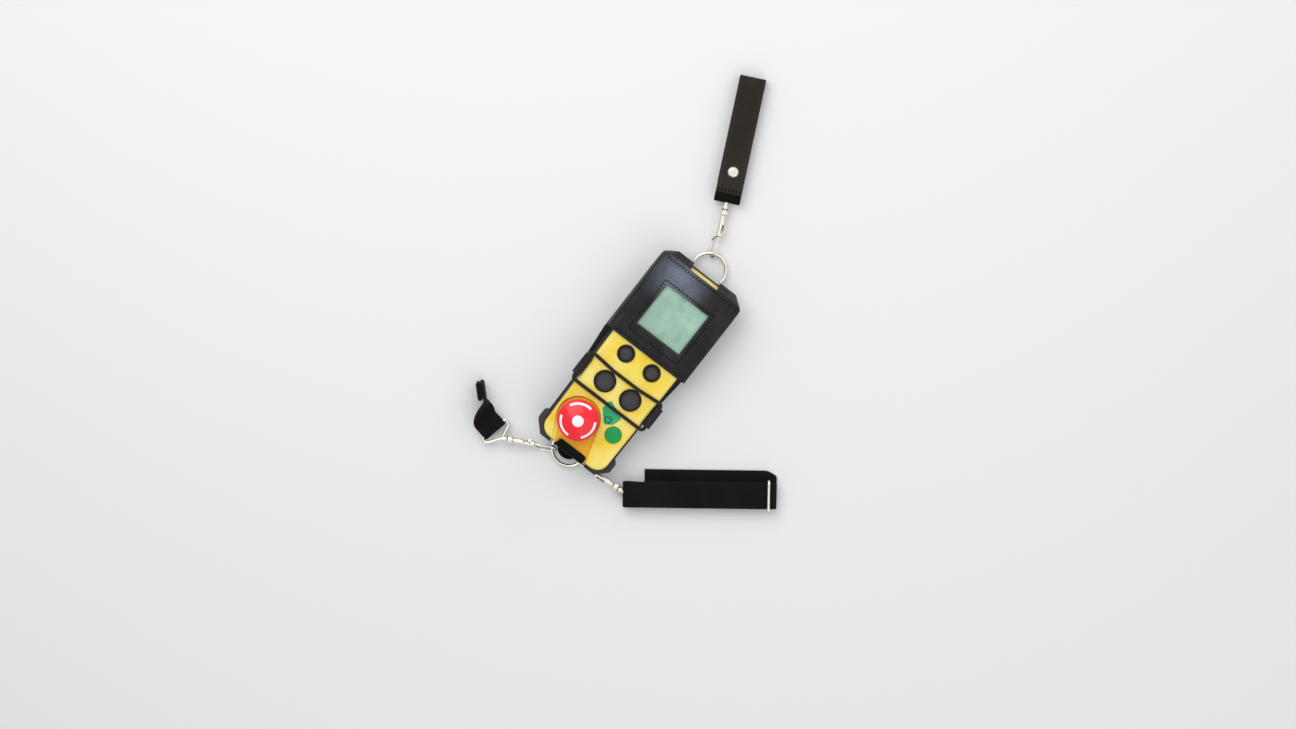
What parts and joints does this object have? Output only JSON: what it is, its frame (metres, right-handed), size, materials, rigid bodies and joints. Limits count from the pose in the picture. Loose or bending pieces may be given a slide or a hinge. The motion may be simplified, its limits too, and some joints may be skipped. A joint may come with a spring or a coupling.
{
  "type": "harness_radio_transmitter",
  "caption": "Hand-held radio transmitter with stop button, display and push buttons, held in a leather holster with carrying straps on swivel bolt snaps.",
  "frame": {"origin": "centre of the holster's back, on the surface it lies on", "axes": "+Z out of the transmitter's face, +Y along the transmitter towards the ring at its display end, +X to the right as the face is read"},
  "size_m": [0.3037, 0.4418, 0.0571],
  "materials": {
    "yellow_shell": "glossy",
    "grey_shell": "matte",
    "bumper_rubber": "matte",
    "clear_rubber": "matte",
    "steel": "brushed",
    "board": "matte",
    "battery_wrap": "matte",
    "ceramic": "matte",
    "display_frame": "matte",
    "display_window": "glossy",
    "button_rubber": "matte",
    "collar_black": "glossy",
    "start_green": "glossy",
    "legend_green": "matte",
    "stop_red": "glossy",
    "stop_white": "glossy",
    "stop_black": "matte",
    "nut_black": "satin",
    "black_leather": "semi-gloss grain",
    "elastic_cord": "woven",
    "nickel": "polished",
    "brown_webbing": "woven",
    "black_webbing": "woven"
  },
  "bodies": {
    "transmitter": {"front_case": "yellow_shell", "rear_case": "grey_shell", "battery_cover": "grey_shell", "corner_bumpers": "bumper_rubber", "case_gasket": "bumper_rubber", "start_button_dome": "clear_rubber", "small_button_left_dome": "clear_rubber", "small_button_right_dome": "clear_rubber", "big_button_left_dome": "clear_rubber", "big_button_right_dome": "clear_rubber", "case_screws": "steel", "stop_spring": "steel", "circuit_board": "board", "battery_pack": "battery_wrap", "antenna_strip": "ceramic", "display_module": "display_frame", "display_lens": "display_window", "small_button_left_collar": "collar_black", "small_button_right_collar": "collar_black", "big_button_left_collar": "collar_black", "big_button_right_collar": "collar_black", "start_legend": "legend_green", "stop_bush": "stop_black", "stop_contact_block": "stop_black", "stop_nut": "nut_black", "holster_pocket": "black_leather", "holster_back": "black_leather", "spine_strap": "black_leather", "bottom_tongue": "black_leather", "wing_left": "black_leather", "wing_right": "black_leather", "elastic_loop": "elastic_cord"},
    "small_button_left": {"small_button_left": "button_rubber"},
    "small_button_right": {"small_button_right": "button_rubber"},
    "big_button_left": {"big_button_left": "button_rubber"},
    "big_button_right": {"big_button_right": "button_rubber"},
    "start_button": {"start_button": "start_green"},
    "stop_plunger": {"stop_plunger": "stop_black"},
    "stop_head": {"stop_head": "stop_red", "stop_markings": "stop_white"},
    "top_ring": {"top_ring": "nickel"},
    "top_hook": {"top_hook_body": "nickel"},
    "top_bolt": {"top_hook_bolt": "nickel"},
    "shoulder_strap": {"top_swivel_eye": "nickel", "shoulder_strap": "brown_webbing", "strap_rivet": "nickel"},
    "bottom_ring": {"bottom_ring": "nickel"},
    "left_hook": {"left_hook_body": "nickel"},
    "left_bolt": {"left_hook_bolt": "nickel"},
    "left_strap": {"left_swivel_eye": "nickel", "left_strap": "black_webbing", "left_strap_fold": "black_webbing"},
    "right_hook": {"right_hook_body": "nickel"},
    "right_bolt": {"right_hook_bolt": "nickel"},
    "right_strap": {"right_swivel_eye": "nickel", "right_strap": "black_webbing", "right_strap_return": "black_webbing"},
    "strap_slider": {"strap_slider": "nickel"}
  },
  "joints": [
    {"name": "small_button_left_press", "type": "slide", "parent": "transmitter", "child": "small_button_left", "axis": [0, 0, -1], "range_m": [0, 0.003], "stiffness_N_per_m": 900, "deforming": ["small_button_left_dome"]},
    {"name": "small_button_right_press", "type": "slide", "parent": "transmitter", "child": "small_button_right", "axis": [0, 0, -1], "range_m": [0, 0.003], "stiffness_N_per_m": 900, "deforming": ["small_button_right_dome"]},
    {"name": "big_button_left_press", "type": "slide", "parent": "transmitter", "child": "big_button_left", "axis": [0, 0, -1], "range_m": [0, 0.003], "stiffness_N_per_m": 900, "deforming": ["big_button_left_dome"]},
    {"name": "big_button_right_press", "type": "slide", "parent": "transmitter", "child": "big_button_right", "axis": [0, 0, -1], "range_m": [0, 0.003], "stiffness_N_per_m": 900, "deforming": ["big_button_right_dome"]},
    {"name": "start_press", "type": "slide", "parent": "transmitter", "child": "start_button", "axis": [0, 0, -1], "range_m": [0, 0.002], "stiffness_N_per_m": 1100, "deforming": ["start_button_dome"]},
    {"name": "stop_push", "type": "slide", "parent": "transmitter", "child": "stop_plunger", "axis": [0, 0, -1], "range_m": [0, 0.005], "stiffness_N_per_m": 2500, "deforming": ["stop_spring"]},
    {"name": "stop_twist", "type": "hinge", "parent": "stop_plunger", "child": "stop_head", "pos_m": [-0.0134, -0.074, 0.0436], "axis": [0, 0, 1], "range_deg": [0, 45], "stiffness_Nm_per_rad": 0.06},
    {"name": "top_ring_swing", "type": "hinge", "parent": "transmitter", "child": "top_ring", "pos_m": [0, 0.1016, 0.0053], "axis": [1, 0, 0], "range_deg": [0, 45]},
    {"name": "bottom_ring_swing", "type": "hinge", "parent": "transmitter", "child": "bottom_ring", "pos_m": [0, -0.1035, 0.0053], "axis": [-1, 0, 0], "range_deg": [0, 20]},
    {"name": "top_hook_slide", "type": "hinge", "parent": "top_ring", "child": "top_hook", "pos_m": [0, 0.1121, 0.0053], "axis": [0, 0, 1], "range_deg": [-50, 25]},
    {"name": "top_bolt_draw", "type": "slide", "parent": "top_hook", "child": "top_bolt", "axis": [-0.4305, 0.9026, 0], "range_m": [0, 0.0055], "stiffness_N_per_m": 300},
    {"name": "top_swivel", "type": "hinge", "parent": "top_hook", "child": "shoulder_strap", "pos_m": [-0.02174, 0.16399, 0.00911], "axis": [-0.4305, 0.9026, 0], "continuous": true},
    {"name": "left_hook_slide", "type": "hinge", "parent": "bottom_ring", "child": "left_hook", "pos_m": [0, -0.1075, 0.0053], "axis": [0, 0, 1], "range_deg": [-10, 20]},
    {"name": "left_bolt_draw", "type": "slide", "parent": "left_hook", "child": "left_bolt", "axis": [-0.8829, -0.4695, 0], "range_m": [0, 0.0055], "stiffness_N_per_m": 300},
    {"name": "left_swivel", "type": "hinge", "parent": "left_hook", "child": "left_strap", "pos_m": [-0.04926, -0.13403, 0.00911], "axis": [-0.8829, -0.4695, 0], "continuous": true},
    {"name": "right_hook_slide", "type": "hinge", "parent": "bottom_ring", "child": "right_hook", "pos_m": [0, -0.1075, 0.0053], "axis": [0, 0, 1], "range_deg": [-30, 0]},
    {"name": "right_bolt_draw", "type": "slide", "parent": "right_hook", "child": "right_bolt", "axis": [0.9969, 0.0785, 0], "range_m": [0, 0.0055], "stiffness_N_per_m": 300},
    {"name": "right_swivel", "type": "hinge", "parent": "right_hook", "child": "right_strap", "pos_m": [0.05614, -0.1091, 0.00911], "axis": [0.9969, 0.0785, 0], "continuous": true},
    {"name": "slider_shift", "type": "slide", "parent": "right_strap", "child": "strap_slider", "axis": [0.7986, 0.6018, 0], "range_m": [-0.06, 0]}
  ]
}
